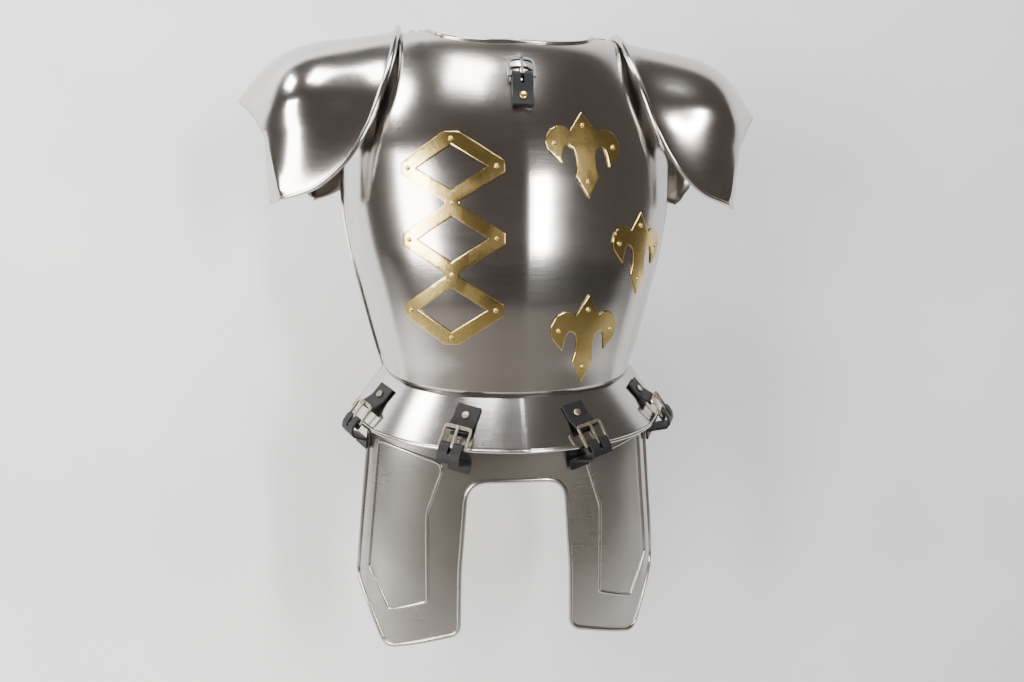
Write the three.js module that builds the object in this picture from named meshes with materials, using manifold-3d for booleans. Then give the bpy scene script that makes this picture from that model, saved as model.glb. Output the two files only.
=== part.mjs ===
// A hollow plate armour for the torso: breastplate and backplate, two pauldrons, a flared
// waist band and a two-legged tasset hung from it by four buckled straps.
// Millimetres, +Z up, the front faces -Y. The origin is between the wearer's shoulders,
// at the height of the shoulder crests. Left and right are the sides of +X and -X.
import * as THREE from 'three';
import { mergeVertices } from 'three/addons/utils/BufferGeometryUtils.js';
import Module from 'manifold-3d';

const wasm = await Module();
wasm.setup();

// ---------------------------------------------------------------- driving dimensions

const GAP = 0.35;          // between pieces that touch
const PLATE = 1.8;         // wall of the breastplate and backplate
const LAME = 1.6;          // wall of the pauldrons, band and tasset
const ROLL = 1.3;          // how far a rolled edge stands out from its plate
const ROLL_WIDTH = 4.5;    // width of a rolled edge
const BRASS = 1.0;         // sheet of the ornaments
const LEATHER = 2.2;       // thickness of the straps

// The chest's sections: half width, and depth of the front at the middle.
const CHEST = [
  { height: -356, halfWidth: 127.0, depth: 101 },
  { height: -325, halfWidth: 131.5, depth: 106 },
  { height: -300, halfWidth: 138.5, depth: 112 },
  { height: -250, halfWidth: 151.5, depth: 122 },
  { height: -200, halfWidth: 164.0, depth: 126 },
  { height: -150, halfWidth: 171.0, depth: 124 },
  { height: -115, halfWidth: 172.5, depth: 119 },
  { height: -85, halfWidth: 166.0, depth: 112 },
  { height: -50, halfWidth: 153.0, depth: 99 },
  { height: -20, halfWidth: 141.0, depth: 83 },
  { height: 0, halfWidth: 134.0, depth: 66 },
  { height: 7, halfWidth: 131.0, depth: 56 },
  { height: 11, halfWidth: 129.5, depth: 45 },
  { height: 13, halfWidth: 128.5, depth: 30 },
  { height: 14, halfWidth: 128.0, depth: 13 },
];

// The back's sections, which flare below the waist into a short skirt.
const BACK = [
  { height: -364, halfWidth: 162.0, depth: 112 },
  { height: -345, halfWidth: 145.0, depth: 95 },
  { height: -330, halfWidth: 132.5, depth: 83 },
  { height: -322, halfWidth: 132.0, depth: 81 },
  { height: -300, halfWidth: 138.5, depth: 85 },
  { height: -250, halfWidth: 151.5, depth: 92 },
  { height: -200, halfWidth: 164.0, depth: 96 },
  { height: -150, halfWidth: 171.0, depth: 97 },
  { height: -115, halfWidth: 172.5, depth: 94 },
  { height: -85, halfWidth: 166.0, depth: 88 },
  { height: -50, halfWidth: 153.0, depth: 80 },
  { height: -20, halfWidth: 141.0, depth: 69 },
  { height: 0, halfWidth: 134.0, depth: 58 },
  { height: 7, halfWidth: 131.0, depth: 50 },
  { height: 11, halfWidth: 129.5, depth: 40 },
  { height: 13, halfWidth: 128.5, depth: 27 },
  { height: 14, halfWidth: 128.0, depth: 13 },
];

// Where each plate ends above, by the angle round the body from its own middle.
const FRONT_TOP = [
  { angle: 0, height: -5 },
  { angle: 9, height: -5 },
  { angle: 18, height: -3.5 },
  { angle: 27, height: 0 },
  { angle: 33, height: 4 },
  { angle: 37, height: 9 },
  { angle: 40, height: 13 },
  { angle: 43, height: 14 },
  { angle: 75, height: 14 },
  { angle: 77, height: 8 },
  { angle: 79, height: -12 },
  { angle: 81, height: -38 },
  { angle: 84, height: -72 },
  { angle: 88, height: -98 },
  { angle: 92, height: -106 },
];
const BACK_TOP = [
  { angle: 0, height: 7 },
  { angle: 18, height: 7.5 },
  { angle: 29, height: 9 },
  { angle: 36, height: 11.5 },
  { angle: 41, height: 14 },
  { angle: 75, height: 14 },
  { angle: 77, height: 8 },
  { angle: 79, height: -12 },
  { angle: 81, height: -38 },
  { angle: 84, height: -72 },
  { angle: 88, height: -98 },
  { angle: 95, height: -108 },
];

const KEEL = 7;                     // degrees by which each half turns away from the keel
const WAIST = { middle: -344, rise: 26, power: 3 };      // lower edge of the breastplate
const BAND_TUCK = 12;               // the band goes this far up under the breastplate
const BAND_RIM = { halfWidth: 164, depth: 133, middle: -391, rise: 28, power: 2.4 };
const BAND_END = 88;                // degrees from the middle to the band's ends

// The tasset's sections, and its outline seen from the front: half of it, mirrored.
const TASSET = [
  { height: -612, halfWidth: 162, depth: 90 },
  { height: -520, halfWidth: 162, depth: 93 },
  { height: -450, halfWidth: 158, depth: 95 },
  { height: -390, halfWidth: 154, depth: 97 },
  { height: -368, halfWidth: 150, depth: 97 },
];
const TASSET_OUTLINE = [
  { x: 0, height: -428, round: 0 },
  { x: 49, height: -428, round: 24 },
  { x: 56, height: -520, round: 200 },
  { x: 57, height: -583, round: 12 },
  { x: 129, height: -602, round: 12 },
  { x: 157, height: -536, round: 40 },
  { x: 142, height: -376, round: 0 },
  { x: 0, height: -376, round: 0 },
];
const PANEL_OUTLINE = [
  { x: 70, height: -411, round: 10 },
  { x: 87, height: -461, round: 40 },
  { x: 87.5, height: -551, round: 3 },
  { x: 125, height: -563.5, round: 3 },
  { x: 145, height: -522, round: 6 },
  { x: 133, height: -392, round: 3 },
];
const PANEL_RIDGE = { width: 4, height: 1.2 };

// The left pauldron's two long edges, from the tip of its front wing over the shoulder to
// the tip of its rear wing, and how far it is domed between them.
const PAULDRON = [
  { rim: [238, -46, -165], edge: [241, -44, -162], dome: [0, 0, 0] },
  { rim: [213, -58, -157], edge: [239, -45, -145], dome: [0, -4, 0] },
  { rim: [190, -66, -146], edge: [237, -46, -125], dome: [0, -9, 1] },
  { rim: [160, -74, -119], edge: [235, -46, -106], dome: [1, -15, 3] },
  { rim: [140, -74, -86], edge: [237, -45, -93], dome: [2, -21, 6] },
  { rim: [127, -68, -50], edge: [245, -38, -82], dome: [4, -22, 14] },
  { rim: [118, -52, -16], edge: [257, -27, -70], dome: [6, -16, 23] },
  { rim: [113, -27, 12], edge: [269, -14, -60], dome: [8, -8, 26] },
  { rim: [112, 0, 20], edge: [275, 0, -54], dome: [8, 0, 27] },
  { rim: [113, 27, 12], edge: [270, 14, -58], dome: [8, 8, 26] },
  { rim: [118, 50, -14], edge: [258, 27, -66], dome: [6, 15, 22] },
  { rim: [128, 64, -48], edge: [247, 38, -77], dome: [4, 19, 12] },
  { rim: [142, 70, -90], edge: [238, 44, -90], dome: [2, 16, 5] },
  { rim: [164, 69, -122], edge: [233, 47, -107], dome: [1, 10, 2] },
  { rim: [186, 62, -138], edge: [224, 48, -125], dome: [0, 5, 1] },
  { rim: [206, 51, -147], edge: [211, 48, -143], dome: [0, 0, 0] },
];
const PAULDRON_STATIONS = 22;       // rings across the pauldron
const DOME_SKEW = 1.5;              // above 1, the dome is fullest near the outer edge

// The buckled straps on the band: the angle of each, and how its lower end leans sideways.
const BAND_STRAPS = [
  { name: 'front_right', angle: -21.5, lean: -8, tabEnd: -408 },
  { name: 'front_left', angle: 21.5, lean: 8, tabEnd: -408 },
  { name: 'side_right', angle: -69, lean: -3, tabEnd: -391 },
  { name: 'side_left', angle: 69, lean: 3, tabEnd: -391 },
];
const UPPER_STRAP = { width: 24, rivet: 23 };     // rivet: distance down the band's slope
const LOWER_TAB = { width: 22.4, lap: 9, lift: 2.6 };   // lap, lift: on and above the tasset
const BAND_BUCKLE = { width: 28, side: 2.2, farBar: 3.2, wire: 2.2, reach: 19.5, corner: 3.5 };
const CHEST_STRAP = { width: 19.5, height: -67 };
const CHEST_BUCKLE = { width: 26.5, side: 2.4, farBar: 2.6, wire: 2.4, reach: 19, corner: 9 };
const BAR = 2.0;                    // section of the bar that a strap is folded round
const PRONG = { width: 2.4, thickness: 1.5 };
const RIVET = { radius: 4.1, height: 1.7 };
const SMALL_RIVET = { radius: 2.4, height: 1.5 };

const STEEL = new THREE.MeshStandardMaterial({ color: 0x8c8a86, roughness: 0.28, metalness: 1 });
const GILDING = new THREE.MeshStandardMaterial({ color: 0xb08a3c, roughness: 0.35, metalness: 1 });
const BUCKLE_METAL = new THREE.MeshStandardMaterial({ color: 0x8f8468, roughness: 0.4, metalness: 1 });
const BLACK_METAL = new THREE.MeshStandardMaterial({ color: 0x15151a, roughness: 0.25, metalness: 0.8 });
const HIDE = new THREE.MeshStandardMaterial({ color: 0x17171a, roughness: 0.5, metalness: 0 });

// ---------------------------------------------------------------- small tools

const degrees = THREE.MathUtils.degToRad;
const vector = (x, y, z) => new THREE.Vector3(x, y, z);

// A value of one column of a table at any place along another column, as a smooth curve
// that does not overshoot between the rows.
function lookUp(table, along, column) {
  const xs = table.map((row) => row[along]);
  const ys = table.map((row) => row[column]);
  const last = xs.length - 1;
  const slopes = xs.slice(1).map((x, i) => (ys[i + 1] - ys[i]) / (x - xs[i]));
  const tangents = xs.map((x, i) => {
    if (i === 0) return slopes[0];
    if (i === last) return slopes[last - 1];
    const product = slopes[i - 1] * slopes[i];
    return product <= 0 ? 0 : (2 * product) / (slopes[i - 1] + slopes[i]);
  });
  return (x) => {
    if (x <= xs[0]) return ys[0];
    if (x >= xs[last]) return ys[last];
    const i = xs.findIndex((value) => value > x) - 1;
    const width = xs[i + 1] - xs[i];
    const t = (x - xs[i]) / width;
    return (2 * t ** 3 - 3 * t ** 2 + 1) * ys[i] + (t ** 3 - 2 * t ** 2 + t) * width * tangents[i]
      + (3 * t ** 2 - 2 * t ** 3) * ys[i + 1] + (t ** 3 - t ** 2) * width * tangents[i + 1];
  };
}

// A sheet with a wall: a grid of points over (us, vs), moved out along the surface's own
// normal by outer(u, v) and in by inner(u, v). The surface faces along dP/du x dP/dv.
function wall(us, vs, point, outer, inner) {
  const step = 1e-3;
  const clamp = (value, list) => Math.min(Math.max(value, list[0]), list[list.length - 1]);
  const slope = (u, v, du, dv) => {
    const ahead = point(clamp(u + du, us), clamp(v + dv, vs));
    return ahead.sub(point(clamp(u - du, us), clamp(v - dv, vs)));
  };
  const uStep = step * (us[us.length - 1] - us[0]);
  const vStep = step * (vs[vs.length - 1] - vs[0]);
  const positions = [];
  for (const offset of [outer, inner]) {
    for (const v of vs) {
      for (const u of us) {
        const normal = slope(u, v, uStep, 0).cross(slope(u, v, 0, vStep)).normalize();
        positions.push(...point(u, v).addScaledVector(normal, offset(u, v)).toArray());
      }
    }
  }
  const columns = us.length;
  const rows = vs.length;
  const at = (side, i, j) => side * columns * rows + j * columns + i;
  const faces = [];
  const quad = (a, b, c, d) => faces.push(a, b, c, a, c, d);
  for (let j = 0; j + 1 < rows; j++) {
    for (let i = 0; i + 1 < columns; i++) {
      quad(at(0, i, j), at(0, i + 1, j), at(0, i + 1, j + 1), at(0, i, j + 1));
      quad(at(1, i, j), at(1, i, j + 1), at(1, i + 1, j + 1), at(1, i + 1, j));
    }
    quad(at(0, 0, j), at(0, 0, j + 1), at(1, 0, j + 1), at(1, 0, j));
    const end = columns - 1;
    quad(at(0, end, j), at(1, end, j), at(1, end, j + 1), at(0, end, j + 1));
  }
  for (let i = 0; i + 1 < columns; i++) {
    quad(at(0, i, 0), at(1, i, 0), at(1, i + 1, 0), at(0, i + 1, 0));
    const end = rows - 1;
    quad(at(0, i, end), at(0, i + 1, end), at(1, i + 1, end), at(1, i, end));
  }
  const geometry = new THREE.BufferGeometry();
  geometry.setAttribute('position', new THREE.Float32BufferAttribute(positions, 3));
  geometry.setIndex(faces);
  return geometry;
}

// A closed mesh as a solid that can be joined and cut, and back again.
function solid(geometry) {
  const bare = geometry.clone();
  for (const name of ['normal', 'uv']) bare.deleteAttribute(name);
  const merged = mergeVertices(bare, 1e-4);
  return new wasm.Manifold(new wasm.Mesh({
    numProp: 3,
    vertProperties: new Float32Array(merged.attributes.position.array),
    triVerts: new Uint32Array(merged.index.array),
  }));
}
function geometryOf(manifold) {
  const { vertProperties, triVerts } = manifold.getMesh();
  const geometry = new THREE.BufferGeometry();
  geometry.setAttribute('position', new THREE.Float32BufferAttribute(vertProperties, 3));
  geometry.setIndex(new THREE.Uint32BufferAttribute(triVerts, 1));
  return geometry;
}

// A polygon in (x, height) whose corners are rounded by the radius that each row gives.
function roundedOutline(corners, closed = true) {
  const points = [];
  corners.forEach((corner, i) => {
    const here = new THREE.Vector2(corner.x, corner.height);
    const before = corners[(i + corners.length - 1) % corners.length];
    const after = corners[(i + 1) % corners.length];
    const toBefore = new THREE.Vector2(before.x, before.height).sub(here);
    const toAfter = new THREE.Vector2(after.x, after.height).sub(here);
    const turn = Math.abs(toBefore.angleTo(toAfter));
    const room = 0.48 * Math.min(toBefore.length(), toAfter.length());
    const cut = Math.min(corner.round / Math.tan(turn / 2), room);
    const isEnd = !closed && (i === 0 || i === corners.length - 1);
    if (!corner.round || isEnd || cut < 0.5) {
      points.push(here);
      return;
    }
    const start = toBefore.setLength(cut).add(here);
    const end = toAfter.setLength(cut).add(here);
    const steps = cut > 6 ? 4 : 2;
    points.push(...new THREE.QuadraticBezierCurve(start, here, end).getPoints(steps));
  });
  return points;
}

// The outline moved towards its inside by a distance.
function inset(points, distance) {
  const area = THREE.ShapeUtils.area(points);
  return points.map((point, i) => {
    const before = points[(i + points.length - 1) % points.length];
    const after = points[(i + 1) % points.length];
    const a = point.clone().sub(before).normalize();
    const b = after.clone().sub(point).normalize();
    const normal = new THREE.Vector2(-a.y - b.y, a.x + b.x).multiplyScalar(Math.sign(area));
    const scale = distance / Math.max(0.35, (1 + a.dot(b)) / 2) / 2;
    return point.clone().addScaledVector(normal, scale);
  });
}

// A shape whose outline runs anticlockwise and whose holes run clockwise.
function shapeOf(outline, holes = []) {
  const turned = (points, sign) => (
    Math.sign(THREE.ShapeUtils.area(points)) === sign ? points : [...points].reverse());
  const shape = new THREE.Shape(turned(outline, 1));
  shape.holes = holes.map((hole) => new THREE.Path(turned(hole, -1)));
  return shape;
}

// An outline in (x, height), with holes, as a prism that runs along Y through the front.
function prism(outline, holes = []) {
  const settings = { depth: 200, bevelEnabled: false };
  return solid(new THREE.ExtrudeGeometry(shapeOf(outline, holes), settings).rotateX(Math.PI / 2));
}

const mirrored = (points) => points.map((p) => new THREE.Vector2(-p.x, p.y)).reverse();

// A round head with a flat underside on z = 0, turned about Z.
function head({ radius, height }, sides) {
  const profile = [[0, 0], [radius, 0], [0.85 * radius, 0.75 * height], [0, height]];
  const points = profile.map(([r, z]) => new THREE.Vector2(r, z));
  return new THREE.LatheGeometry(points, sides).rotateX(Math.PI / 2);
}

function part(name, geometry, material) {
  const mesh = new THREE.Mesh(geometry, material);
  mesh.name = name;
  return mesh;
}

// ---------------------------------------------------------------- the body's surfaces

const chestWidth = lookUp(CHEST, 'height', 'halfWidth');
const chestDepth = lookUp(CHEST, 'height', 'depth');
const backWidth = lookUp(BACK, 'height', 'halfWidth');
const backDepth = lookUp(BACK, 'height', 'depth');
const frontTop = lookUp(FRONT_TOP, 'angle', 'height');
const backTop = lookUp(BACK_TOP, 'angle', 'height');
const waistHeight = (angle) => WAIST.middle + WAIST.rise * (Math.abs(angle) / 90) ** WAIST.power;

// A half oval section whose two sides meet at a keel in front. The angle runs from the
// keel to the side, and a little past it.
function keeledSection(halfWidth, depth, angle) {
  const turn = degrees(KEEL);
  const around = turn + (Math.abs(angle) / 90) * (Math.PI / 2 - turn);
  const across = (Math.sin(around) - Math.sin(turn)) / (1 - Math.sin(turn));
  const forward = Math.cos(around) / Math.cos(turn);
  const fullness = Math.sign(forward) * Math.abs(forward) ** 0.95;
  return { x: Math.sign(angle) * halfWidth * across, y: -depth * fullness };
}
function chestPoint(angle, height) {
  const { x, y } = keeledSection(chestWidth(height), chestDepth(height), angle);
  return vector(x, y, height);
}
// The back's angle runs from its middle, positive towards the right side (-X).
function backPoint(angle, height) {
  const side = degrees(angle);
  if (Math.abs(angle) > 90) return chestPoint(-Math.sign(angle) * (180 - Math.abs(angle)), height);
  const fullness = Math.cos(side) ** 0.85;
  return vector(-backWidth(height) * Math.sin(side), backDepth(height) * fullness, height);
}

// Rows across a plate: even ones, with a rolled edge of its own rows at the end, at the
// start or at both. distance(v, length) says how far along the plate row v lies.
const ROLL_STEP = 0.8;
function rolledRows(count, { atStart = false, atEnd = false }) {
  const knots = (length) => {
    const start = atStart ? [0, ROLL_WIDTH, ROLL_WIDTH + ROLL_STEP] : [0];
    const end = atEnd ? [length - ROLL_WIDTH - ROLL_STEP, length - ROLL_WIDTH, length] : [length];
    const from = start[start.length - 1];
    const middle = Array.from({ length: count - 1 }, (_, i) => from + ((i + 1) / count) * (end[0] - from));
    return [...start, ...middle, ...end];
  };
  const total = knots(100).length;
  return {
    vs: Array.from({ length: total }, (_, i) => i),
    distance(v, length) {
      const list = knots(length);
      const i = Math.min(Math.floor(v), total - 2);
      return list[i] + (v - i) * (list[i + 1] - list[i]);
    },
    isRolled: (v) => (atStart && v <= 1) || (atEnd && v >= total - 2),
  };
}

// Turns a surface over (angle, height) into one over (angle, row), whose rows are spaced
// evenly along the surface from its lower edge to its upper one.
function meridians(surface, bottom, top, rows) {
  const samples = 80;
  const known = new Map();
  const lengths = (angle) => {
    if (!known.has(angle)) {
      const low = bottom(angle);
      const high = top(angle);
      const heights = Array.from({ length: samples + 1 }, (_, i) => high - (high - low) * (1 - i / samples) ** 2);
      const table = [0];
      heights.slice(1).forEach((height, i) => {
        table.push(table[i] + surface(angle, height).distanceTo(surface(angle, heights[i])));
      });
      known.set(angle, { heights, table });
    }
    return known.get(angle);
  };
  return (angle, v) => {
    const { heights, table } = lengths(angle);
    const goal = rows.distance(v, table[samples]);
    const i = Math.min(Math.max(table.findIndex((length) => length > goal) - 1, 0), samples - 1);
    const end = goal >= table[samples] ? samples - 1 : i;
    const t = (goal - table[end]) / (table[end + 1] - table[end]);
    return surface(angle, heights[end] + t * (heights[end + 1] - heights[end]));
  };
}

// ---------------------------------------------------------------- breastplate, backplate

const SIDE_ANGLE = 92;                                // the breastplate passes the side a little
const ROLL_END = 48;                                  // degrees to which the neck's edge is rolled
const halfAngles = [8, 16, 24, 32, 37, 40, ROLL_END, 58, 67, 75, 77, 79, 81, 84, 88, SIDE_ANGLE];
const chestAngles = [...halfAngles.map((angle) => -angle).reverse(), 0, ...halfAngles];
const chestRows = rolledRows(11, { atEnd: true });
const chestSurface = meridians(chestPoint, waistHeight, (angle) => frontTop(Math.abs(angle)), chestRows);
const frontWall = wall(chestAngles, chestRows.vs, chestSurface,
  (angle, v) => (chestRows.isRolled(v) && Math.abs(angle) <= ROLL_END ? ROLL : 0), () => -PLATE);
// The armholes: an oval seen from the side, cut through both plates outside |x| = from.
const ARMHOLE = { from: 100, height: -48, halfWidth: 38, halfHeight: 50 };
const armholes = [1, -1].map((side) => solid(new THREE.CylinderGeometry(1, 1, 120, 20)
  .rotateZ(Math.PI / 2)
  .scale(1, ARMHOLE.halfWidth, ARMHOLE.halfHeight)
  .translate(side * (ARMHOLE.from + 60), 0, ARMHOLE.height)));
const breastplate = geometryOf(solid(frontWall).subtract(armholes[0]).subtract(armholes[1]));

// The backplate's side edges lie outside the breastplate's, and its skirt starts behind
// the band's ends.
const LAP = 6;                                        // degrees of overlap at each side
const LAP_START = { from: 70, to: 81 };               // degrees over which it steps outwards
const LAP_OUT = PLATE + 4 * GAP;
const SKIRT_FRONT = 5;                                // below SKIRT_TOP it stays behind this Y
const SKIRT_TOP = -312;
const backOut = (angle) => LAP_OUT * THREE.MathUtils.smoothstep(Math.abs(angle), LAP_START.from, LAP_START.to);
const backHalf = [12, 24, 36, 41, ROLL_END, 58, 67, 75, 77, 79, 81, 84, 88, 92, 90 + LAP];
const backAngles = [...backHalf.map((angle) => -angle).reverse(), 0, ...backHalf];
const backRows = rolledRows(9, { atEnd: true });
const backSurface = meridians(backPoint, () => BACK[0].height, (angle) => backTop(Math.abs(angle)), backRows);
const backWall = wall(backAngles, backRows.vs, backSurface,
  (angle, v) => backOut(angle) + (backRows.isRolled(v) && Math.abs(angle) <= ROLL_END ? ROLL : 0),
  (angle) => backOut(angle) - PLATE);
const skirtCut = new THREE.BoxGeometry(500, 200, 100).translate(0, SKIRT_FRONT - 100, SKIRT_TOP - 50);
const backplate = geometryOf(
  solid(backWall).subtract(solid(skirtCut)).subtract(armholes[0]).subtract(armholes[1]));

// ---------------------------------------------------------------- waist band

const rimHeight = (angle) => BAND_RIM.middle + BAND_RIM.rise * (Math.abs(angle) / 90) ** BAND_RIM.power;
const TUCK_IN = PLATE + 2.5 * GAP;
function rimPoint(angle) {
  const { x, y } = keeledSection(BAND_RIM.halfWidth, BAND_RIM.depth, angle);
  return vector(x, y, rimHeight(angle));
}
// Outer face of the band: up to v = 1 it lies inside the breastplate, then it flares to v = 2.
function bandPoint(angle, v) {
  const waist = waistHeight(angle);
  const inside = (height) => {
    const point = chestPoint(angle, height);
    const inward = 1 - TUCK_IN / Math.hypot(point.x, point.y);
    return vector(point.x * inward, point.y * inward, height);
  };
  if (v <= 1) return inside(waist + BAND_TUCK * (1 - v));
  return inside(waist).lerp(rimPoint(angle), v - 1);
}
const bandAngles = Array.from({ length: 23 }, (_, i) => BAND_END * (i / 11 - 1));
const bandSlope = bandPoint(0, 1).distanceTo(rimPoint(0));
const rollStart = 2 - ROLL_WIDTH / bandSlope;
const bandLevels = [2, rollStart, rollStart - ROLL_STEP / bandSlope, 1.5, 1, 0];
const bandRow = (index) => {
  const i = Math.min(Math.floor(index), bandLevels.length - 2);
  return bandLevels[i] + (index - i) * (bandLevels[i + 1] - bandLevels[i]);
};
const waistBand = wall(bandAngles, bandLevels.map((_, i) => i), (angle, i) => bandPoint(angle, bandRow(i)),
  (angle, i) => (i <= 1 ? ROLL : 0), () => -LAME);

// ---------------------------------------------------------------- tasset

const tassetWidth = lookUp(TASSET, 'height', 'halfWidth');
const tassetDepth = lookUp(TASSET, 'height', 'depth');
const TASSET_SPAN = 84;
const TASSET_SHIFT = -3.5;            // it hangs a little to the right of the middle
function tassetPoint(angle, height) {
  const side = degrees(angle);
  return vector(tassetWidth(height) * Math.sin(side), -tassetDepth(height) * Math.cos(side) ** 0.8, height);
}
const tassetAngles = Array.from({ length: 15 }, (_, i) => TASSET_SPAN * (i / 7 - 1));
const tassetHeights = [-612, -530, -450, -368];
const tassetSheet = (outer, inner) => solid(wall(tassetAngles, tassetHeights, tassetPoint, () => outer, () => inner));

const halfTasset = roundedOutline(TASSET_OUTLINE, false);
const tassetOutline = [...halfTasset, ...mirrored(halfTasset).slice(1, -1)];
const panelOutline = roundedOutline(PANEL_OUTLINE);
const panelRidge = (outline) => prism(outline, [inset(outline, PANEL_RIDGE.width)]);
const tassetRoll = tassetSheet(ROLL, -LAME).intersect(prism(tassetOutline, [inset(tassetOutline, ROLL_WIDTH)]));
const ridgeSheet = tassetSheet(PANEL_RIDGE.height, -0.5 * LAME);
const tassetPlate = geometryOf(tassetSheet(0, -LAME).intersect(prism(tassetOutline))
  .add(tassetRoll)
  .add(ridgeSheet.intersect(panelRidge(panelOutline)))
  .add(ridgeSheet.intersect(panelRidge(mirrored(panelOutline)))));

// ---------------------------------------------------------------- pauldrons

// The stations of the table joined by smooth curves, at any place from 0 to 1 along them.
const pauldronCurves = ['rim', 'edge', 'dome'].map((column) => (
  new THREE.CatmullRomCurve3(PAULDRON.map((row) => vector(...row[column])), false, 'centripetal')));
function pauldronPoint(station, across) {
  const t = station * (PAULDRON.length - 1);
  const [rim, edge, dome] = pauldronCurves.map((curve) => curve.getPoint(t / (PAULDRON.length - 1)));
  return rim.clone().lerp(edge, across).addScaledVector(dome, Math.sin(Math.PI * across ** DOME_SKEW));
}
const pauldronRows = rolledRows(6, { atStart: true });
function pauldronWall(side) {
  const stations = Array.from({ length: PAULDRON_STATIONS }, (_, i) => i / (PAULDRON_STATIONS - 1));
  const surface = (station, v) => {
    const along = side > 0 ? station : 1 - station;
    const [rim, edge] = pauldronCurves.map((curve) => curve.getPoint(along));
    const width = Math.max(rim.distanceTo(edge), 2.2 * (ROLL_WIDTH + ROLL_STEP));
    const point = pauldronPoint(along, pauldronRows.distance(v, width) / width);
    return vector(side * point.x, point.y, point.z);
  };
  return wall(stations, pauldronRows.vs, surface,
    (station, v) => (pauldronRows.isRolled(v) ? ROLL : 0), () => -LAME);
}

// ---------------------------------------------------------------- brass on the breastplate

// A sheet that follows the breastplate's own points, moved out from it.
const overChest = (lift, thickness) => solid(wall(chestAngles, chestRows.vs, chestSurface,
  () => lift + thickness, () => lift));

// The point of the breastplate's face that is seen from the front at (x, height), and the
// direction in which the face looks there.
function chestFace(x, height) {
  let low = 0;
  let high = 89;
  for (let i = 0; i < 30; i++) {
    const middle = (low + high) / 2;
    if (chestPoint(middle, height).x < Math.abs(x)) low = middle;
    else high = middle;
  }
  const angle = Math.sign(x) * low;
  const along = chestPoint(angle + 1, height).sub(chestPoint(angle - 1, height));
  const up = chestPoint(angle, height + 1).sub(chestPoint(angle, height - 1));
  return { point: chestPoint(angle, height), normal: along.cross(up).normalize() };
}
function ornament(outline, holes, rivets) {
  let brass = overChest(GAP, BRASS).intersect(prism(outline, holes));
  for (const { x, height } of rivets) {
    const { point, normal } = chestFace(x, height);
    const turn = new THREE.Quaternion().setFromUnitVectors(vector(0, 0, 1), normal);
    const dome = head(SMALL_RIVET, 7).applyQuaternion(turn);
    const seat = point.addScaledVector(normal, GAP + 0.2 * BRASS);
    brass = brass.add(solid(dome.translate(seat.x, seat.y, seat.z)));
  }
  return geometryOf(brass);
}

// The x that lies at a distance along the breastplate's face, sideways from a first x.
function alongChest(x, distance, height) {
  const steps = 12;
  let here = x;
  for (let i = 0; i < steps; i++) {
    const { normal } = chestFace(here, height);
    here += (distance / steps) * Math.hypot(normal.y, normal.z);
  }
  return here;
}
const laidOn = (x, points) => points.map((p) => new THREE.Vector2(alongChest(x, p.x, p.y), p.y));

// A lily: a pointed blade between two lobes that curl down to points, over a pointed foot.
// Half of its outline, as fractions of its half width and length, from the top down.
const LILY = [
  { x: 0.0, height: 1.0, round: 0 },
  { x: 0.345, height: 0.77, round: 0 },
  { x: 0.62, height: 0.845, round: 12 },
  { x: 1.03, height: 0.8, round: 16 },
  { x: 1.04, height: 0.5, round: 16 },
  { x: 0.7, height: 0.365, round: 0 },
  { x: 0.6, height: 0.6, round: 10 },
  { x: 0.25, height: 0.64, round: 10 },
  { x: 0.235, height: 0.34, round: 10 },
  { x: 0.35, height: 0.235, round: 1 },
  { x: 0.0, height: 0.0, round: 0 },
];
const LILY_RIVETS = [
  { x: 0, height: 0.84 }, { x: -0.8, height: 0.61 }, { x: 0.8, height: 0.61 }, { x: 0, height: 0.19 },
];
const LILIES = [
  { name: 'lily_upper', x: 58.5, foot: -158, halfWidth: 38.5, length: 81, lean: 5.8 },
  { name: 'lily_side', x: 119.5, foot: -247.5, halfWidth: 38, length: 80, lean: 0 },
  { name: 'lily_lower', x: 61.5, foot: -333.5, halfWidth: 37.5, length: 86, lean: -3.9 },
];
function lily({ x, foot, halfWidth, length, lean }) {
  const place = (p) => ({
    ...p, x: p.x * halfWidth + lean * (0.5 - p.height), height: foot + p.height * length,
  });
  const other = LILY.slice(1, -1).map((p) => ({ ...p, x: -p.x })).reverse();
  const outline = laidOn(x, roundedOutline([...LILY, ...other].map(place)));
  const rivets = LILY_RIVETS.map(place).map((p) => ({ x: alongChest(x, p.x, p.height), height: p.height }));
  return ornament(outline, [], rivets);
}

// Strapwork: a chain of open lozenges.
const LOZENGES = { x: -66, top: -98, bottom: -294, count: 3, halfWidth: 49, strip: 12.5 };
function lozengeChain({ x, top, bottom, count, halfWidth, strip }) {
  const step = (top - bottom) / count;
  const neck = 0.55 * strip;
  const right = [];
  const holes = [];
  const rivets = [{ x: 0, height: top - 0.55 * strip }];
  for (let i = 0; i < count; i++) {
    const upper = top - i * step;
    const middle = upper - step / 2;
    const isLast = i + 1 === count;
    right.push(
      { x: neck, height: upper - (i ? 0.12 * strip : 0), round: 0 },
      { x: halfWidth, height: middle + 0.4 * strip, round: 0 },
      { x: halfWidth, height: middle - 0.4 * strip, round: 0 },
      { x: neck, height: upper - step + (isLast ? 0 : 0.12 * strip), round: 0 },
    );
    holes.push([[0, 1], [-1, 0], [0, -1], [1, 0]].map(([across, up]) => new THREE.Vector2(
      across * (halfWidth - 1.25 * strip), middle + up * (step / 2 - 0.95 * strip))));
    for (const side of [-1, 1]) rivets.push({ x: side * (halfWidth - 0.6 * strip), height: middle });
    rivets.push({ x: 0, height: upper - step + (isLast ? 0.55 * strip : 0) });
  }
  const left = right.map((p) => ({ ...p, x: -p.x })).reverse();
  return ornament(
    laidOn(x, roundedOutline([...right, ...left])),
    holes.map((hole) => laidOn(x, hole)),
    rivets.map((p) => ({ x: alongChest(x, p.x, p.height), height: p.height })),
  );
}

// ---------------------------------------------------------------- straps and buckles
// Each strap has its own axes: x across it, y down its length, z away from the steel.

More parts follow.
